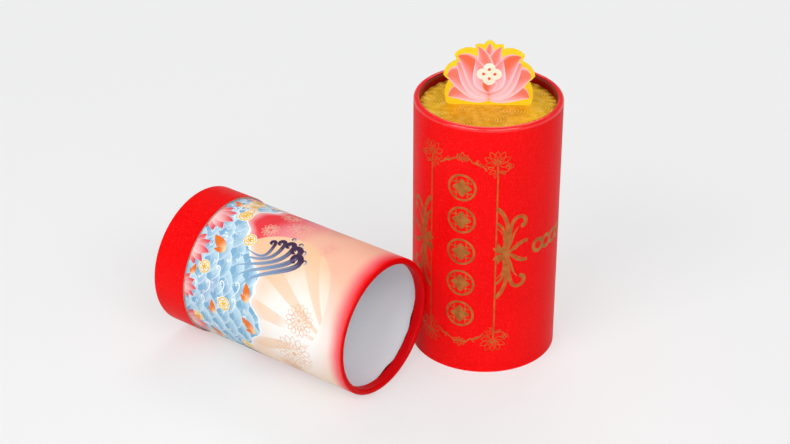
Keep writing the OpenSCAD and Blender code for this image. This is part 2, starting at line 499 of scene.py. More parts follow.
# %% Gold foil
def gold_foil():
    s = Surface("gold_foil", roughness=0.42, metallic=0.34, specular=0.06)
    drift = s.noise(60, 4)
    groove = s.node("ShaderNodeAttribute", {"attribute_name": "groove"}, out=2)
    wrinkle = s.node("ShaderNodeAttribute", {"attribute_name": "wrinkle"}, out=2)
    dapple, clear = s.noise(260, 5), s.noise(85, 2).ramp(0.40, 0.62) * 0.7 + 0.3
    body = s.mix(drift.ramp(0.3, 0.7), (0.80, 0.43, 0.012), (0.94, 0.55, 0.02))
    body = s.mix(dapple.ramp(0.50, 0.64) * 0.4, body, (0.90, 0.60, 0.14))
    body = s.mix(dapple.ramp(0.50, 0.36) * 0.3, body, (0.50, 0.235, 0.006))
    # Painted shade in the grooves of the rings, where the patches of clear let it show.
    body = s.mix(groove.ramp(0.30, 0.90) * clear * 0.45, body, (0.36, 0.18, 0.012))
    # Painted shade in the dents of the crinkled edge, and painted highlights on its folds.
    body = s.mix(wrinkle.ramp(0.45, 0.1) * 0.7, body, (0.24, 0.11, 0.008))
    body = s.mix(wrinkle.ramp(0.62, 0.9) * 0.7, body, (0.94, 0.68, 0.20))
    # Painted highlight on the ridges of the rings.
    s.set("Base Color", s.mix(groove.ramp(0.14, 0.0) * clear * 0.7, body, (0.96, 0.78, 0.34)))
    s.set("Roughness", 0.34 + s.noise(900, 2) * 0.16)
    s.bump(s.noise(1400, 2), 0.00003, 0.5)
    return s.material


GOLD = gold_foil()


# %% A closed disc with a modelled face
def round_grid(name, radius, rings, spokes, height_at, thickness):
    """A closed disc whose top follows height_at(x, y), in metres about its own middle."""
    verts, faces = [(0.0, 0.0, height_at(0, 0))], []
    for i in range(1, rings + 1):
        r = radius * i / rings
        for k in range(spokes):
            a = 2 * math.pi * k / spokes
            x, y = r * math.cos(a), r * math.sin(a)
            verts.append((x, y, height_at(x, y)))
    def at(i, k):
        return 1 + (i - 1) * spokes + k % spokes
    for k in range(spokes):
        faces.append((0, at(1, k), at(1, k + 1)))
        for i in range(1, rings):
            faces.append((at(i, k), at(i + 1, k), at(i + 1, k + 1), at(i, k + 1)))
    rim = len(verts)
    for k in range(spokes):
        x, y, _ = verts[at(rings, k)]
        verts.append((x, y, -thickness))
    for k in range(spokes):
        faces.append((at(rings, k), rim + k, rim + (k + 1) % spokes, at(rings, k + 1)))
    faces.append(tuple(rim + k for k in range(spokes))[::-1])
    mesh = bpy.data.meshes.new(name)
    mesh.from_pydata(verts, [], faces)
    for polygon in mesh.polygons:
        polygon.use_smooth = len(polygon.vertices) < 5
    obj = bpy.data.objects.new(name, mesh)
    bpy.context.scene.collection.objects.link(obj)
    return obj


# %% Pressed rings
RING_PITCH = 1.6 * MM


def ring_sets():
    """Middles of the ring sets: a triangular net, each middle nudged by a fixed formula."""
    net = 17.5 * MM
    for row in range(-4, 5):
        for col in range(-4, 5):
            x = (col + 0.5 * (row % 2)) * net + 3.4 * MM * math.sin(12.9 * row + 4.1 * col)
            y = row * net * 0.8 + 3.1 * MM * math.sin(7.3 * row - 9.7 * col)
            yield x, y, (9.2 + 3.6 * math.sin(5.1 * row + 3.3 * col)) * MM


RING_SETS = list(ring_sets())


def groove_depth(x, y):
    """0 on a ridge and 1 in a groove of the uppermost ring set here, and a shallow ripple where there is none."""
    for cx, cy, reach in RING_SETS:
        away = math.hypot(x - cx, y - cy)
        if away < reach:
            fade = min(1.0, (reach - away) / (1.5 * MM) + 0.4)
            return max(0.0, 0.45 + fade * -0.45 * math.cos(2 * math.pi * away / RING_PITCH) + min(0.12, 0.03 * away / MM - 0.06))
    return 0.4 + 0.18 * math.sin(x / (1.3 * MM) + 2.2 * math.sin(y / (2.1 * MM))) * math.sin(y / (1.1 * MM))


def wrinkle(x, y):
    """The crinkled edge of the foil: 0.5 where it lies flat, and from 0 to 1 in dents and on folds."""
    away, around = math.hypot(x, y) / BORE_R, math.atan2(y, x)
    share = max(0.0, min(1.0, (away - 0.70) / 0.24))
    fold = math.sin(17 * around + 3.0 * math.sin(4 * around) + 6 * away) * math.sin(9 * around - 31 * away) \
        + 0.6 * math.sin(41 * around + 24 * away + 2.0 * math.sin(7 * around))
    return 0.5 + share ** 1.5 * max(-0.5, min(0.5, 0.42 * fold))


def foil_height(x, y):
    """The foil lies on its board, rolls a little, and is crinkled along its edge."""
    roll_up = 0.07 * MM * (1 + math.sin(x / (9 * MM)) * math.sin(y / (7 * MM) + 1))
    return roll_up - 0.07 * MM - 0.06 * MM * groove_depth(x, y) + 0.5 * MM * max(-0.1, wrinkle(x, y) - 0.5)


disc = round_grid("foil_disc", BORE_R - 0.05 * MM, 200, 420, foil_height, 0.35 * MM)
grooves = disc.data.attributes.new("groove", "FLOAT", "POINT")
grooves.data.foreach_set("value", [groove_depth(v.co.x, v.co.y) for v in disc.data.vertices])
wrinkles = disc.data.attributes.new("wrinkle", "FLOAT", "POINT")
wrinkles.data.foreach_set("value", [wrinkle(v.co.x, v.co.y) for v in disc.data.vertices])
disc.location = (sleeve_axis.x, sleeve_axis.y, FOIL_TOP)
disc.data.materials.append(GOLD)
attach(disc, "sleeve")
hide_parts("gold_foil")
print("foil disc faces:", len(disc.data.polygons))

# %% [markdown]
# ## Thin prints as meshes
# Stamped foil and sharp printed shapes are drawn as very thin sheets that lie on the paper. Each one is designed flat,
# in millimetres across and up, and a placing function rolls it round a tube or stands it on the card. A stroke is a
# ribbon along a path whose width may swell and taper like a brush's. A leaf is the sheet between two edges.

# %% Paths made of arcs and curves
LIFT = 0.02 * MM


def curve(start, pull, push, end, steps=14):
    """A cubic curve from start to end, drawn towards pull as it leaves and coming from push as it arrives."""
    path = []
    for k in range(steps + 1):
        t = k / steps
        a, b, c, d = (1 - t) ** 3, 3 * t * (1 - t) ** 2, 3 * t * t * (1 - t), t ** 3
        path.append(tuple(a * start[i] + b * pull[i] + c * push[i] + d * end[i] for i in (0, 1)))
    return path


def spiral(middle, outer, inner, begin, turn, steps=22):
    """A curl about a middle, from the outer radius to the inner one, through so many degrees."""
    path = []
    for k in range(steps + 1):
        t = k / steps
        a, r = math.radians(begin + turn * t), outer + (inner - outer) * t
        path.append((middle[0] + r * math.cos(a), middle[1] + r * math.sin(a)))
    return path


def ring_path(x, y, radius, steps=36):
    return [(x + radius * math.cos(2 * math.pi * k / steps), y + radius * math.sin(2 * math.pi * k / steps))
            for k in range(steps)]


def moved(path, x=0.0, y=0.0, turn=0.0, size=1.0, flip_x=1, flip_y=1):
    """The path scaled, mirrored, turned clockwise by degrees, and put in place, in that order."""
    c, d = math.cos(math.radians(turn)), math.sin(math.radians(turn))
    out = []
    for u, v in path:
        u, v = u * size * flip_x, v * size
        u, v = u * c + v * d, -u * d + v * c
        out.append((x + u, y + v * flip_y))
    return out


# %% A print: sheets and strokes gathered into one mesh
class Print:
    """Thin shapes in one ink, placed by place(across, up, layer) and facing along outward(point)."""

    def __init__(self, name, place, outward):
        self.name, self.place, self.outward = name, place, outward
        self.verts, self.faces, self.coords, self.layer = [], [], [], 0

    def sheet(self, rows, closed=False):
        """A grid through rows of (across, up) points, each row as long as the others."""
        first, wide, tall = len(self.verts), len(rows[0]), len(rows)
        for j, row in enumerate(rows):
            for i, (x, y) in enumerate(row):
                self.verts.append(self.place(x, y, self.layer))
                self.coords.append((i / (wide - 1), j / max(1, tall - 1)))
        for j in range(tall if closed else tall - 1):
            for i in range(wide - 1):
                low, high = first + j * wide + i, first + (j + 1) % tall * wide + i
                self.faces.append((low, low + 1, high + 1, high))

    def stroke(self, path, width, closed=False, taper=None, shift=0.0):
        """A ribbon along the path. taper is the width's share at the start, middle and end, shift moves it sideways."""
        n, rows = len(path), []
        for i, (x, y) in enumerate(path):
            before = path[i - 1] if i or closed else path[i]
            after = path[(i + 1) % n] if i < n - 1 or closed else path[i]
            dx, dy = after[0] - before[0], after[1] - before[1]
            size = math.hypot(dx, dy) or 1.0
            t, w = i / (n - 1), width
            if taper:
                start, middle, end = taper
                w *= start + (middle - start) * math.sin(math.pi / 2 * min(1, 2 * t)) if t < 0.5 else \
                    end + (middle - end) * math.cos(math.pi / 2 * (2 * t - 1))
            parts = max(1, math.ceil(width / 0.9))
            rows.append([(x - dy / size * w * (k / parts - 0.5 + shift), y + dx / size * w * (k / parts - 0.5 + shift))
                         for k in range(parts + 1)])
        self.sheet(rows, closed)

    def engraved(self, path, width, taper=None):
        """A broad ribbon with a hair line of bare paper along it, as an engraver would cut it."""
        self.stroke(path, width * 0.66, taper=taper, shift=-0.26)
        self.stroke(path, width * 0.20, taper=taper, shift=1.90)

    def leaf(self, left, right, parts=6):
        """The sheet between two edges that start and end together."""
        self.sheet([[tuple(a[i] + (b[i] - a[i]) * k / parts for i in (0, 1)) for k in range(parts + 1)]
                    for a, b in zip(left, right)])

    def dot(self, x, y, radius, steps=28, rings=4, lobes=0, depth=0.0):
        """A filled round, or a flower when it has lobes."""
        rows = []
        for k in range(steps + 1):
            a = 2 * math.pi * k / steps
            r = radius * (1 + depth * math.cos(lobes * a))
            rows.append([(x + r * i / rings * math.cos(a), y + r * i / rings * math.sin(a))
                         for i in range(rings + 1)])
        self.sheet(rows)

    def done(self, ink, body, slot):
        """Makes the mesh, turns every face outwards, and lets it ride on its body."""
        mesh = bpy.data.meshes.new(self.name)
        faces = []
        for face in self.faces:
            corners = [Vector(self.verts[i]) for i in face]
            facing = (corners[1] - corners[0]).cross(corners[2] - corners[0])
            if facing.length < 1e-14:
                facing = (corners[2] - corners[0]).cross(corners[3] - corners[0])
            faces.append(face if facing.dot(self.outward(corners[0])) > 0 else face[::-1])
        mesh.from_pydata(self.verts, [], faces)
        ways = mesh.uv_layers.new(name="ways")
        for loop in mesh.loops:
            ways.data[loop.index].uv = self.coords[loop.vertex_index]
        mesh.validate()
        mesh.materials.append(ink)
        obj = bpy.data.objects.new(self.name, mesh)
        bpy.context.scene.collection.objects.link(obj)
        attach(obj, body)
        print(self.name, "faces:", len(mesh.polygons))
        return obj


# %% [markdown]
# ## Gold line work on the sleeve
# A tall panel is drawn on the sleeve with two upright lines. A lotus spray grows from each end of each line, thin
# branches with a small lotus join the sprays at top and bottom, and a fan of scrolls opens outwards from the middle of
# each line. A chain of rings runs round the back from scroll to scroll. The lower half mirrors the upper one. A column
# of five rosettes fills the panel. All of it is stamped in one matt bronze-gold foil.

# %% The sleeve as a drawing board
FACING = math.radians(36.16 - 90)
PANEL_MIDDLE = -15.1
PANEL_HALF = 19.0
MID_HEIGHT = SLEEVE_H / MM / 2 + 0.3


def on_sleeve(across, up, layer=0):
    """across from the panel's middle and up from the sleeve's middle, in millimetres."""
    a = FACING + (across + PANEL_MIDDLE) * MM / SLEEVE_R
    r = SLEEVE_R + LIFT * (1 + layer * 0.5)
    return (sleeve_axis.x + r * math.cos(a), sleeve_axis.y + r * math.sin(a), (up + MID_HEIGHT) * MM)


def out_of_sleeve(point):
    return Vector((point.x - sleeve_axis.x, point.y - sleeve_axis.y, 0))


foil_lines = Print("sleeve_line_work", on_sleeve, out_of_sleeve)


# %% Petals, lotus blossoms and sprays
def petal(length, width, lean=0.0, x=0.0, y=0.0, steps=12, hook=0.0):
    """Both edges of a pointed petal that grows up from (x, y) and leans right by so many degrees."""
    left, right = [], []
    for k in range(steps + 1):
        t = k / steps
        half = width / 2 * math.sin(math.pi * t ** 0.85) ** 0.9 if 0 < t < 1 else 0.0
        bend = hook * length * t ** 3
        left.append((bend - half, length * t))
        right.append((bend + half, length * t))
    return moved(left, x, y, lean), moved(right, x, y, lean)


def outline_petal(ink, length, width, lean, x, y, line=0.36, flip_y=1, hook=0.0):
    left, right = petal(length, width, lean, 0, 0, hook=hook)
    outline = moved(left + right[-2:0:-1], x, y, 0, 1, 1, flip_y)
    ink.stroke(outline, line, closed=True)


def lotus(ink, x, y, size, flip_y=1, line=0.36, petals=((-78, 0.8), (78, 0.8), (-46, 0.95), (46, 0.95), (0, 1.05))):
    for lean, share in petals:
        a = math.radians(lean)
        foot = (x + size * 0.13 * math.sin(a), y + flip_y * size * 0.13 * math.cos(a))
        outline_petal(ink, size * share * 0.88, size * 0.43, lean, *foot, line, flip_y)


FULL_LOTUS = ((-96, 0.85), (96, 0.85), (-62, 1.05), (62, 1.05), (-30, 1.1), (30, 1.1), (0, 1.0))


def spray(ink, x, y, side, flip_y):
    """A lotus in full bloom on top of a line, with a bud on its outer side and leaves at its foot."""
    def at(u, v):
        return x + side * u, y + flip_y * v
    lotus(ink, *at(-0.4, 5.6), 7.4, flip_y, 0.27, FULL_LOTUS)
    ink.stroke(moved(ring_path(0, 0, 1.15, 20), *at(-0.4, 6.6)), 0.25, closed=True)
    lotus(ink, *at(6.2, 2.2), 3.6, flip_y, 0.25, ((-40, 0.9), (40, 0.9), (0, 1.0)))
    ink.stroke([at(*p) for p in curve((0.2, 0.6), (2.6, 0.2), (4.6, 0.6), (6.2, 2.2))], 0.42)
    for u, v, lean, long in ((-1.2, 1.8, -118, 4.2), (-2.2, 3.6, -100, 3.4), (1.3, 1.6, 132, 3.6), (-0.6, 0.2, -152, 3.0)):
        outline_petal(ink, long, long * 0.42, side * lean, *at(u, v), 0.27, flip_y)
    ink.stroke([at(*p) for p in curve((0, -1.5), (0.1, 1.0), (-0.3, 3.0), (-0.4, 5.6), 8)], 0.7)


# %% Branches with a small lotus between the sprays
def branch(ink, flip_y):
    for side in (-1, 1):
        path = curve((side * 3.0, 57.0), (side * 7.5, 52.2), (side * 9.0, 55.2), (side * 13.2, 50.3), 22)
        wavy = [(u, flip_y * (v + 0.28 * math.sin(1.7 * u + side))) for u, v in path]
        ink.stroke(wavy, 0.85, taper=(0.55, 1.0, 0.8))
        for t, lean in ((0.45, side * 28), (0.8, side * -40)):
            u, v = wavy[int(t * 22)]
            outline_petal(ink, 2.2, 0.9, lean, u, v, 0.28, flip_y)
    lotus(ink, 0, flip_y * 55.4, 4.3, flip_y, 0.4)
    ink.dot(0, flip_y * 54.4, 0.45)


# %% Fan of scrolls beside a line
def scrolls(ink, side):
    def at(path, flip_y):
        return moved(path, side * PANEL_HALF, 0, 0, 1, side, flip_y)
    for flip_y in (1, -1):
        tall = curve((5.6, 1.0), (8.2, 8.0), (6.6, 14.0), (9.2, 19.2), 16) + \
            spiral((13.6, 17.4), 4.75, 1.9, 158, -235, 26)[1:]
        ink.engraved(at(tall, flip_y), 2.6, taper=(0.5, 0.85, 1.15))
        ink.dot(*at([(14.9, 15.6)], flip_y)[0], 1.35)
        inner = curve((6.6, 1.4), (9.6, 8.4), (8.8, 12.0), (12.4, 15.2), 14)
        ink.stroke(at(inner, flip_y), 1.1, taper=(0.5, 1.0, 0.35))
        arch = curve((4.2, 2.0), (7.8, 12.0), (6.4, 22.6), (0.2, 27.4), 20)
        ink.engraved(at(arch, flip_y), 2.4, taper=(0.35, 0.9, 1.0))
        low_arch = curve((3.2, 1.6), (6.0, 8.4), (5.2, 15.8), (0.3, 18.6), 18)
        ink.stroke(at(low_arch, flip_y), 1.45, taper=(0.35, 1.0, 0.9))
        hair = curve((3.6, 1.2), (5.0, 7.0), (4.2, 13.4), (0.2, 15.6), 16)
        ink.stroke(at(hair, flip_y), 0.45)
        low_leaf = curve((6.6, 0.5), (10.6, 1.6), (12.2, 6.4), (18.2, 5.8), 14)
        ink.engraved(at(low_leaf, flip_y), 2.2, taper=(0.35, 1.15, 0.9))
        for lean, long, wide in ((-52, 5.6, 1.9), (-16, 6.4, 2.0), (22, 5.2, 1.8)):
            left, right = petal(long, wide, lean, 2.6, 0.4)
            ink.leaf(at(left, flip_y), at(right, flip_y), 3)
    ink.dot(*at([(5.2, 0)], 1)[0], 1.9)
    ink.stroke(at(ring_path(5.2, 0, 2.9, 30), 1), 0.4, closed=True)


# %% Rosettes down the panel
def rosette(ink, y, size):
    """A traditional round flower: four broad petals in a ring, with a dot between each two."""
    ink.stroke(ring_path(0, y, size), size * 0.16, closed=True)
    ink.stroke(ring_path(0, y, size * 0.2, 20), size * 0.09, closed=True)
    for k in range(4):
        left, right = petal(size * 0.74, size * 0.56, 90 * k, 0, y)
        ink.leaf(left, right, 5)
        a = math.radians(45 + 90 * k)
        ink.dot(size * 0.62 * math.cos(a), y + size * 0.62 * math.sin(a), size * 0.115, 16, 2)
        for j in range(2):
            b = a + math.radians(-14 + 28 * j)
            ink.dot(size * 0.79 * math.cos(b), y + size * 0.79 * math.sin(b), size * 0.055, 12, 1)


# %% Chain round the back
def chain(ink, first, pitch, radius):
    half_turn = math.pi * SLEEVE_R / MM
    count = round(2 * (half_turn - first) / pitch)
    for k in range(count + 1):
        x = first + (2 * half_turn - 2 * first) * k / count
        ink.stroke(ring_path(x, 0, radius), 2.2, closed=True)


# %% Stamp it all
for side in (-1, 1):
    foil_lines.stroke([(side * PANEL_HALF, -52.5 + 105 * k / 60) for k in range(61)], 0.68)
    scrolls(foil_lines, side)
    for flip_y in (1, -1):
        spray(foil_lines, side * PANEL_HALF, flip_y * 48.6, side, flip_y)
for flip_y in (1, -1):
    branch(foil_lines, flip_y)
for k in range(-2, 3):
    rosette(foil_lines, 19.4 * k, 7.4)
chain(foil_lines, 44.7, 6.7, 3.4)


def bronze_foil():
    s = Surface("bronze_foil", roughness=0.6, metallic=0.94, specular=0.3)
    s.set("Base Color", s.mix(s.noise(260, 3).ramp(0.3, 0.7), (0.43, 0.145, 0.034), (0.60, 0.225, 0.054)))
    s.set("Roughness", 0.52 + s.noise(1300, 2) * 0.15)
    return s.material


BRONZE = bronze_foil()
foil_lines.done(BRONZE, "sleeve", "gold_foil")

# %% [markdown]
# ## Sharp shapes printed on the neck
# On top of the soft picture the printer's plates put crisp shapes: a crest in plum where the sea breaks, gold-lined
# roundels and orange petals afloat, cream and gold clouds, lotus blossoms by the band, and flowers in the sky that are
# hardly darker than the sky itself. Each ink is one print, and a later ink lies a hair above an earlier one.

# %% The neck as a drawing board
def on_neck(across, up, layer=0):
    a = TOWARDS_CAMERA + across / NECK_MM
    r = NECK_R + LIFT * (1 + layer * 0.5)
    return foot + along * (up * MM) + Vector((r * math.cos(a) * math.sin(LEAN), r * math.sin(a),
                                              r * math.cos(a) * math.cos(LEAN)))


def out_of_neck(point):
    from_axis = point - foot
    return from_axis - along * from_axis.dot(along)


# %% Inks
def ink_material(name, low, high, metallic=0.0, scale=200, ways=False):
    """A printed ink: two tones that drift into each other, or that run along the shape, with the paper's grain."""
    s = Surface(name, roughness=0.4, metallic=metallic, specular=0.2)
    amount = s.noise(scale, 3).ramp(0.3, 0.7)
    if ways:
        across, lengthwise = petal_ways(s)
        amount = (lengthwise + (s.noise(scale, 3) - 0.5) * 0.15).ramp(0.05, 0.55)
    s.set("Base Color", s.mix(amount, low, high))
    s.set("Roughness", 0.36 + s.noise(1800, 2) * 0.12)
    return s.material


def petal_ways(s):
    """Where a point lies on its shape: 0 to 1 across it, and 0 to 1 along it."""
    ways = s.nodes.new("ShaderNodeUVMap")
    ways.uv_map = "ways"
    parts = s.nodes.new("ShaderNodeSeparateXYZ")
    s.links.new(ways.outputs[0], parts.inputs[0])
    return Field(s, parts.outputs[0]), Field(s, parts.outputs[1])


def petal_ink(name, pale, deep, light_edge=0.35, edge=(1.0, 0.86, 0.88), along=0.8, aside=0.3, begin=0.15, end=1.0,
              edge_from=0.84):
    """Pale at the petal's foot and deep at its tip, leaning to one side, with a light line along both edges."""
    s = Surface(name, roughness=0.36, specular=0.2)
    across, lengthwise = petal_ways(s)
    shade = (lengthwise * along + across * aside + (s.noise(400, 3) - 0.5) * 0.12).ramp(begin, end)
    rim = ((across - 0.5).abs() * 2).ramp(edge_from, 1.0)
    s.set("Base Color", s.mix(rim * light_edge, s.mix(shade, pale, deep), edge))
    s.set("Roughness", 0.32 + s.noise(1500, 2) * 0.1)
    return s.material


def neck_ink(name, layer):
    made = Print("neck_" + name, on_neck, out_of_neck)
    made.layer = layer
    return made


sky_flowers, white_foam, cream_clouds = neck_ink("sky_flowers", 0), neck_ink("foam", 1), neck_ink("clouds", 2)
plum_crests, plum_lines = neck_ink("crests", 3), neck_ink("crest_lines", 4)
beige_lines = neck_ink("medallions", 0)
pink_petals, orange_petals, gold_lines = neck_ink("blossoms", 5), neck_ink("floating_petals", 6), neck_ink("gold_lines", 8)


# %% A breaking wave
def crest(x, y, side, size):
    """Ribs that rise out of the sea, close up, lean over and end in curls, with fine pale lines along them."""
    ribs = ((-15, -3, 25.5, 13.0, 3.4, 3.0), (-10, -7, 22, 17.6, 3.2, 2.9), (-5, -10, 16.4, 19.0, 2.8, 2.6),
            (1, -11, 10.4, 18.2, 2.3, 2.2), (6, -10, 5.2, 16.0, 1.8, 1.8))
    for foot_x, foot_y, rise, out, curl, wide in ribs:
        body = curve((foot_x, foot_y), (foot_x * 0.35 + 2, foot_y * 0.3 + 2), (out * 0.12, rise + 1.5), (out - curl, rise), 24)
        hook = spiral((out - curl, rise - curl), curl, curl * 0.34, 90, -300, 26)[1:]
        plum_crests.stroke(moved(body + hook, x, y, 0, size, side), wide * size, taper=(0.1, 1.15, 0.35))
        plum_crests.dot(*moved([(out - curl * 0.9, rise - curl * 1.05)], x, y, 0, size, side)[0], 0.5 * size, 14, 2)
        for shift in (-0.9, 0.8):
            plum_lines.stroke(moved(body[5:-2], x, y, 0, size, side), 0.3 * size, shift=shift * wide / 0.9,
                              taper=(0.2, 1.0, 0.3))
    for u, v, r, begin in ((15.4, 23.4, 1.8, 150), (19.6, 18.6, 1.5, 140), (10.4, 27.6, 1.5, 160), (21.4, 12.4, 1.4, 130)):
        plum_crests.stroke(moved(spiral((u, v), r, r * 0.3, begin, -330, 22), x, y, 0, size, side), 0.9 * size,
                           taper=(0.5, 1.0, 0.5))


# %% Clouds, roundels and flowers
def medallion(x, y, size):
    """A round of petals inside petals, in beige lines, like a flower pressed flat."""
    for share, count, broad in ((1.0, 16, 0.30), (0.66, 12, 0.30), (0.36, 8, 0.32)):
        for k in range(count):
            turn = 360 / count * (k + 0.5 * (share < 0.9))
            a = math.radians(turn)
            left, right = petal(size * share * 0.5, size * broad * share, turn)
            shift = size * share * 0.5
            beige_lines.stroke([(x + u + shift * math.sin(a), y + v + shift * math.cos(a))
                                for u, v in left + right[-2:0:-1]], 0.34, closed=True)
    beige_lines.dot(x, y, size * 0.13)


def filled_cloud(x, y, size, side=1):
    for u, v, r in ((0, 0, 4.0), (5.4, -1.0, 3.1), (-5.2, -1.2, 3.0), (9.4, -2.4, 2.0), (2.6, 2.6, 2.6), (-2.8, 2.0, 2.4)):
        cream_clouds.dot(*moved([(u, v)], x, y, 0, size, side)[0], r * size)
        gold_lines.stroke(moved(spiral((u, v), r, r * 0.35, 200, -400, 34), x, y, 0, size, side), 0.42 * size)


def roundel(x, y, size):
    """A white round with a gold line and a five-petalled flower."""
    white_foam.dot(x, y, size * 1.22)
    gold_lines.stroke(ring_path(x, y, size), size * 0.21, closed=True)
    for k in range(5):
        left, right = petal(size * 0.78, size * 0.5, 72 * k, x, y)
        gold_lines.stroke(left + right[-2:0:-1], size * 0.16, closed=True)
    gold_lines.dot(x, y, size * 0.16, 12, 2)


def blossom(x, y, size, tips=((-86, 0.8), (86, 0.8), (-60, 0.95), (60, 0.95), (-32, 1.05), (32, 1.05), (0, 1.1))):
    start = pink_petals.layer
    for lean, share in tips:
        pink_petals.leaf(*petal(size * share, size * 0.5, lean, x, y), 6)
        pink_petals.layer += 0.25
    pink_petals.layer = start


def sky_flower(x, y, size):
    """A many-petalled flower in thin lines, for the tone-on-tone sky."""
    for ring, count, share in ((0, 7, 0.5), (0.5, 9, 0.8), (0, 11, 1.05)):
        for k in range(count):
            left, right = petal(size * share * 0.62, size * 0.36, 360 / count * (k + ring))
            path = [(u, v + size * share * 0.4) for u, v in left + right[-2:0:-1]]
            a = math.radians(360 / count * (k + ring))
            shift = (size * share * 0.4 * math.sin(a), size * share * 0.4 * math.cos(a))
            outline = left + right[-2:0:-1]
            sky_flowers.stroke([(x + u + shift[0], y + v + shift[1]) for u, v in outline], 0.32, closed=True)


def floating_petal(x, y, turn, size):
    orange_petals.leaf(*[moved(edge, x, y, turn, size) for edge in petal(1.0, 0.42, 0)], 4)
    orange_petals.leaf(*[moved(edge, x, y, turn + 38, size * 0.6) for edge in petal(1.0, 0.4, 0)], 4)


def foam_curl(x, y, size, side):
    white_foam.stroke(moved(curve((-4, -1.6), (-2, 1.2), (1, 2.2), (2.6, 0.9), 10)
                            + spiral((2.0, 0.0), 1.05, 0.35, 60, -300, 14)[1:], x, y, 0, size, side), 0.5 * size,
                      taper=(0.3, 1.3, 0.5))


# %% Print both pictures
for turn_round in (0, 1):
    u = turn_round * PICTURE_WIDTH
    crest(u + 6, 62, 1, 1.0)
    crest(u - 55, 56, -1, 0.55)
    for x, y, size in ((31, 38, 3.6), (17, 52, 3.3), (-6, 33, 3.2), (-22, 50, 3.5), (-47, 62, 3.4), (-38, 30, 3.0), (50, 31, 3.2)):
        roundel(u + x, y, size)
    for x, y, turn, size in ((6, 42, 150, 13), (-16, 66, 110, 11), (-33, 72, 140, 12), (-31, 43, 100, 9), (38, 30, 160, 8),
                             (-52, 44, 130, 11), (-13, 26, 80, 7)):
        floating_petal(u + x, y, turn, size)
    for k in range(40):
        x = -58 + 116 * (k * 0.755 % 1)
        y = 27 + (sea_edge(x) - 34) * ((k * 0.570 + 0.2) % 1)
        foam_curl(u + x, y, 0.9 + 0.35 * math.sin(3.1 * k), 1 if k % 2 else -1)
    for x, y, size in ((46, 33, 1.0), (36, 37, 0.75), (56, 43, 0.8), (-57, 34, 0.8)):
        filled_cloud(u + x, y, size)
    for x, y, size in ((24, 21.5, 12), (2, 20.5, 11), (-20, 20.5, 9), (-45, 21, 12), (57, 22, 10)):
        blossom(u + x, y, size)
    for x, y, size in ((38, 72, 8), (47, 58, 6), (50, 88, 7), (30, 96, 6), (28, 58, 5)):
        sky_flower(u + x, y, size)
    for x, y, size in ((-36, 98, 12), (-14, 101, 9), (-50, 92, 8)):
        medallion(u + x, y, size)
for made, ink in ((sky_flowers, ink_material("sky_flower_ink", (0.93, 0.42, 0.33), (0.95, 0.50, 0.38))),
                  (beige_lines, ink_material("beige_ink", (0.87, 0.50, 0.30), (0.91, 0.58, 0.36))),
                  (white_foam, ink_material("foam_ink", (0.88, 0.95, 0.99), (0.97, 0.99, 1.0))),
                  (cream_clouds, ink_material("cream_ink", (0.93, 0.72, 0.58), (0.97, 0.88, 0.78))),
                  (plum_crests, ink_material("plum_ink", (0.26, 0.44, 0.64), (0.055, 0.024, 0.070), ways=True)),
                  (plum_lines, ink_material("plum_line_ink", (0.30, 0.28, 0.46), (0.42, 0.40, 0.58))),
                  (pink_petals, petal_ink("blossom_ink", (0.95, 0.62, 0.60), (0.82, 0.035, 0.07), 0.7)),
                  (orange_petals, ink_material("orange_ink", (0.98, 0.72, 0.45), (0.88, 0.19, 0.02), ways=True)),
                  (gold_lines, ink_material("gold_ink", (0.92, 0.50, 0.012), (0.99, 0.62, 0.03)))):
    made.done(ink, "base_tube", "neck_print")

# %% [markdown]
# ## The lotus card
# The card is die-cut in the outline of a lotus. It is printed yellow-gold to its edge, with petals that run from pale
# pink to coral, and a small cream flower with four dots in the middle. The petals are laid from the outer pair to the
# inner one, each as a sheet between two curved edges, so that the tiers lap as they do on the real card.

# %% The card as a drawing board
CARD_TURN = math.radians(33)
CARD_HALF = 0.4 * MM
across_card = Vector((math.cos(CARD_TURN), math.sin(CARD_TURN), 0))
out_of_card = Vector((math.sin(CARD_TURN), -math.cos(CARD_TURN), 0))
card_foot = Vector((sleeve_axis.x, sleeve_axis.y, FOIL_TOP))


def card_side(side):
    """Placing and facing for the front, 1, or the back, -1, of the card."""
    def place(across, up, layer=0):
        return card_foot + across_card * (across * MM) + Vector((0, 0, up * MM)) \
            + out_of_card * (side * (CARD_HALF + LIFT * (1 + layer) * 0.5))
    return place, lambda point: out_of_card * side


# %% Card petals
CARD_PETALS = (
    ((0, 2.6), (21.5, 4.2), (5, 10.5), (20.6, 18.0), (6, -0.9), (14, 2.6)),
    ((0, 3.2), (22.2, 16.2), (3, 15.0), (20.4, 31.0), (9, 0.4), (17.0, 7.4)),
    ((0, 4.0), (17.2, 23.9), (3, 15.0), (11.0, 29.6), (11, 1.6), (15.6, 10.2)),
    ((0, 5.0), (16.8, 28.0), (-1, 20.0), (6.5, 34.4), (12.5, 4.6), (12.6, 19.0)),
    ((0, 16.0), (0, 35.6), (-4.8, 23.0), (-3.2, 32.4), (4.8, 23.0), (3.2, 32.4)),
    ((0, 6.6), (6.4, 33.6), (-6.5, 18.0), (-1.4, 32.0), (14.4, 11.3), (4.4, 25.5)),
    ((0, 6.9), (7.4, 26.2), (-3.5, 13.0), (0.6, 23.6), (12.8, 9.2), (7.8, 18.6)),
    ((0, 6.9), (0, 17.0), (-6.8, 10.4), (-4.6, 14.8), (6.8, 10.4), (4.6, 14.8)),
)


def both_edges(foot_at, tip, left_pull, left_push, right_pull, right_push):
    return curve(foot_at, left_pull, left_push, tip, 20), curve(foot_at, right_pull, right_push, tip, 20)


def mirrored(shape):
    foot_at, tip, a, b, c, d = [(-x, y) for x, y in shape]
    return foot_at, tip, c, d, a, b


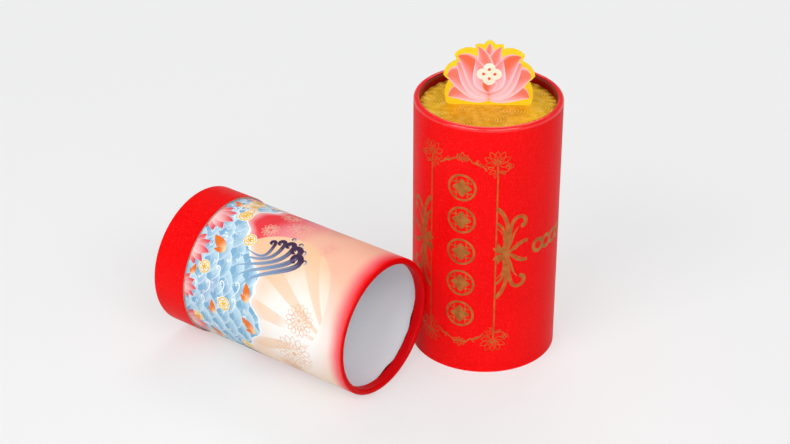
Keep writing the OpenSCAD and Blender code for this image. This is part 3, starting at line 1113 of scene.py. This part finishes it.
def card_ink(name, pale, deep):
    """Coral along the petal's inner side and at its tip, and pale pink toward its outer edge."""
    return petal_ink(name, pale, deep, 0.6, (1.0, 0.84, 0.94), along=0.5, aside=-1.1, begin=-1.02, end=-0.1,
                     edge_from=0.62)


coral = card_ink("card_coral", (1.0, 0.56, 0.68), (0.98, 0.16, 0.075))
rose = card_ink("card_rose", (1.0, 0.62, 0.77), (0.98, 0.23, 0.17))
blush = card_ink("card_blush", (1.0, 0.70, 0.86), (0.98, 0.32, 0.31))


def yellow_gold():
    s = Surface("card_yellow_gold", roughness=0.42, specular=0.2)
    s.set("Base Color", s.mix(s.noise(160, 3).ramp(0.3, 0.7), (0.98, 0.65, 0.014), (1.0, 0.72, 0.028)))
    s.set("Roughness", 0.38 + s.noise(1500, 2) * 0.12)
    s.bump(s.noise(900, 3), 0.00003, 0.4)
    return s.material


paint("lotus_card", yellow_gold())
cream = ink_material("card_cream", (0.99, 0.96, 0.80), (1.0, 0.985, 0.88))
dot_red = ink_material("card_dots", (0.88, 0.10, 0.04), (0.92, 0.16, 0.07))
HEART = (0.0, 17.9)

# %% Print the card on both faces
TIERS = list(zip(("low", "broad", "folded", "high", "top", "near", "inner", "cup"), CARD_PETALS,
                 (rose, rose, blush, coral, rose, rose, blush, coral)))
for side, face in ((1, "front"), (-1, "back")):
    place, outward = card_side(side)
    layer = 0
    for tier, shape, ink in TIERS:
        pair = [("", shape)] if shape[1][0] == 0 else [("_right", shape), ("_left", mirrored(shape))]
        for name, edges in pair:
            sheet = Print(f"card_{face}_{tier}_petal{name}", place, outward)
            sheet.layer = layer = layer + 1
            left, right = both_edges(*edges)
            sheet.leaf(*((right, left) if name == "_left" else (left, right)), 8)
            sheet.done(ink, "card", "card_print")
    flower = Print(f"card_{face}_flower", place, outward)
    flower.layer = layer + 1
    dots = Print(f"card_{face}_dots", place, outward)
    dots.layer = layer + 3
    flower.dot(*HEART, 3.4, 24, 3)
    for k in range(4):
        a = math.pi / 2 * k
        flower.layer += 0.1
        flower.dot(HEART[0] + 3.5 * math.cos(a), HEART[1] + 3.2 * math.sin(a), 3.2, 30, 3)
        dots.dot(HEART[0] + 2.95 * math.cos(a), HEART[1] + 2.65 * math.sin(a), 0.85, 18, 2)
    flower.done(cream, "card", "card_print")
    dots.done(dot_red, "card", "card_print")

# %% [markdown]
# ## Floor, light and camera
# The photograph is a cut-out on pale grey. A pale floor takes the object's shadow, a large soft lamp stands at each
# side and one overhead, and the world fills the rest. The camera was worked out from both tubes' outlines.

# %% Floor
BACKGROUND = (0.871, 0.871, 0.871)
NEAR_GLOW = 0.46


def pale_floor():
    """Takes shadows near the tubes and glows more and more away from them, so that it ends in the backdrop's tone."""
    s = Surface("pale_floor", roughness=0.9, specular=0.1)
    parts = s.nodes.new("ShaderNodeSeparateXYZ").outputs
    s.links.new(s.place, parts[0].node.inputs[0])
    x, y = Field(s, parts[0]), Field(s, parts[1])
    away = (x * x + y * y).sqrt()
    tone = s.noise(3, 2)
    s.set("Base Color", s.mix(tone, (0.815, 0.82, 0.825), (0.835, 0.84, 0.845)))
    glow = s.node("ShaderNodeEmission", {}, (1, 1, 1, 1))
    near = s.node("ShaderNodeMixShader", {}, s.seen() * NEAR_GLOW, s.shader.outputs[0], glow)
    backdrop = s.node("ShaderNodeEmission", {}, (*BACKGROUND, 1))
    both = s.node("ShaderNodeMixShader", {}, s.seen() * away.ramp(0.15, 1.0), near, backdrop)
    s.links.new(both.socket, s.kind("OUTPUT_MATERIAL").inputs[0])
    return s.material


half = 3.0
floor_mesh = bpy.data.meshes.new("floor")
floor_mesh.from_pydata([(-half, -half, 0), (half, -half, 0), (half, half, 0), (-half, half, 0)], [], [(0, 1, 2, 3)])
floor_mesh.materials.append(pale_floor())
floor = bpy.data.objects.new("floor", floor_mesh)
bpy.context.scene.collection.objects.link(floor)

# %% World and lamps
scene = bpy.context.scene
scene.view_settings.view_transform = "Standard"
world = bpy.data.worlds.new("studio")
scene.world = world
world.use_nodes = True
studio = NodeTree(world.node_tree)
direction = studio.nodes.new("ShaderNodeTexCoord").outputs["Generated"]
height = Field(studio, studio.node("ShaderNodeSeparateXYZ", {}, direction, out=2).socket)
LOW_FILL, HIGH_FILL = 0.05, 0.44
studio.kind("BACKGROUND").inputs[0].default_value = (1, 1, 1, 1)
studio.links.new((height.ramp(0, 1) * HIGH_FILL + LOW_FILL).socket, studio.kind("BACKGROUND").inputs[1])
CEILING = 0.22
shade = height.ramp(0.02, 0.36) * (CEILING / BACKGROUND[0] - 1) + 1
backdrop = studio.node("ShaderNodeBackground", {}, (*BACKGROUND, 1), shade)
both = studio.node("ShaderNodeMixShader", {}, studio.seen(), studio.kind("BACKGROUND").outputs[0], backdrop)
studio.links.new(both.socket, studio.kind("OUTPUT_WORLD").inputs[0])


def soft_lamp(name, place, aim, width, height, power):
    lamp = bpy.data.lights.new(name, "AREA")
    lamp.shape = "RECTANGLE"
    lamp.size, lamp.size_y, lamp.energy = width, height, power
    obj = bpy.data.objects.new(name, lamp)
    obj.location = place
    obj.rotation_euler = (Vector(aim) - Vector(place)).to_track_quat("-Z", "Y").to_euler()
    scene.collection.objects.link(obj)
    return obj


aim = (0, 0, 0.07)
CAMERA = Vector((554.6, -734.6, 595.3)) * MM
view_dir = math.radians(36.16)
right = Vector((math.cos(view_dir), math.sin(view_dir), 0))
forward = Vector((-math.sin(view_dir), math.cos(view_dir), 0))
soft_lamp("left_lamp", right * -0.97 - forward * 1.27 + Vector((0, 0, 1.27)), aim, 1.3, 0.85, 16.9)
soft_lamp("right_lamp", right * 0.60 - forward * 1.48 + Vector((0, 0, 1.27)), aim, 1.6, 0.75, 17.2)
soft_lamp("back_lamp", forward * 0.95 + right * 0.2 + Vector((0, 0, 1.3)), aim, 0.9, 0.5, 5.0)

# %% Camera
camera_data = bpy.data.cameras.new("camera")
camera_data.sensor_fit = "HORIZONTAL"
camera_data.sensor_width = 36.0
camera_data.lens = 87.64
camera_data.clip_start, camera_data.clip_end = 0.01, 20
camera = bpy.data.objects.new("camera", camera_data)
camera.location = CAMERA
camera.rotation_euler = (math.radians(90 - 29.58), 0, view_dir)
scene.collection.objects.link(camera)
scene.camera = camera
